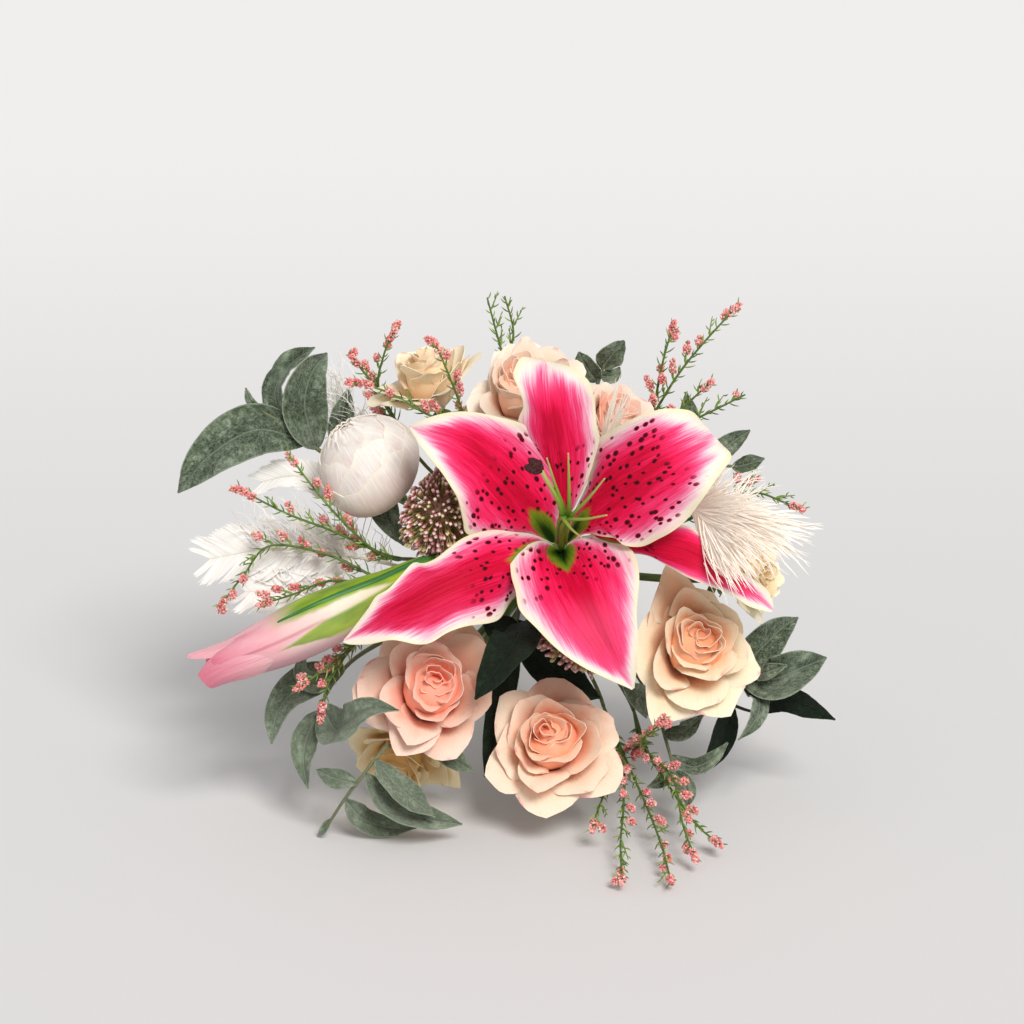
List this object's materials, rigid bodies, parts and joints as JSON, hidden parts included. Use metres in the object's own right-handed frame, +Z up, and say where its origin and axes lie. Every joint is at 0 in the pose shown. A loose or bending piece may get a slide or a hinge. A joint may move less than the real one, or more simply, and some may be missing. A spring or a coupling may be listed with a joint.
{
  "type": "bridal bouquet",
  "caption": "Hand-tied bridal bouquet lying on its side: an open lily over roses, feathers and grey leaves, on a ribbon-bound handle of stems.",
  "frame": {"origin": "on the surface the bouquet lies on, under the centre of its box", "axes": "+Z up from the surface, +Y along the handle towards the cut stem ends, +X to the right of the flowers' face seen from the front"},
  "size_m": [0.302, 0.3752, 0.2257],
  "materials": {
    "lily_petal": "printed silk, crimson midrib to a cream edge",
    "lily_green": "matte yellow-green",
    "bud_skin": "lime base to a pink tip",
    "peach_petal": "soft, peach and blush",
    "cream_petal": "soft, cream",
    "blush_petal": "silky, white blush",
    "allium_floret": "mauve pink bud tips on olive",
    "green_stem": "matte",
    "sage_leaf": "felted grey-green",
    "dark_leaf": "dark, slightly glossy",
    "heather": "green needles with pink florets",
    "feather": "soft white down",
    "satin_ribbon": "ivory satin",
    "stem_tape": "waxed crepe"
  },
  "bodies": {
    "root": {"lily_tepals": "lily_petal", "lily_stamens": "lily_green", "lily_bud": "bud_skin", "lily_stem": "green_stem", "rose_front": "peach_petal", "rose_left": "peach_petal", "rose_right": "cream_petal", "rose_top": "peach_petal", "rose_upper_left": "cream_petal", "rose_upper_right": "peach_petal", "rose_far_right": "cream_petal", "rose_lower_left": "cream_petal", "peony": "blush_petal", "allium_left": "allium_floret", "allium_front": "allium_floret", "rose_front_stem": "green_stem", "rose_left_stem": "green_stem", "rose_right_stem": "green_stem", "rose_top_stem": "green_stem", "rose_upper_left_stem": "green_stem", "rose_upper_right_stem": "green_stem", "rose_far_right_stem": "green_stem", "rose_lower_left_stem": "green_stem", "peony_stem": "green_stem", "allium_left_stem": "green_stem", "allium_front_stem": "green_stem", "sage_upper_left": "sage_leaf", "sage_top": "sage_leaf", "sage_right": "sage_leaf", "sage_lower_right": "sage_leaf", "sage_low_right": "sage_leaf", "sage_left": "sage_leaf", "sage_low_front": "sage_leaf", "dark_leaf_centre": "dark_leaf", "dark_leaf_right": "dark_leaf", "heather_left_upper": "heather", "heather_left_lower": "heather", "heather_upper_left": "heather", "heather_top_left": "heather", "heather_top": "heather", "heather_upper_right": "heather", "heather_right": "heather", "heather_lower_left": "heather", "heather_bottom": "heather", "heather_low_right": "heather", "feather_left_long": "feather", "feather_left_low": "feather", "feather_left_vane": "feather", "feather_upper_left": "feather", "feather_right": "feather", "feather_top": "feather", "handle_ribbon": "satin_ribbon", "stem_tape": "stem_tape"}
  },
  "joints": []
}
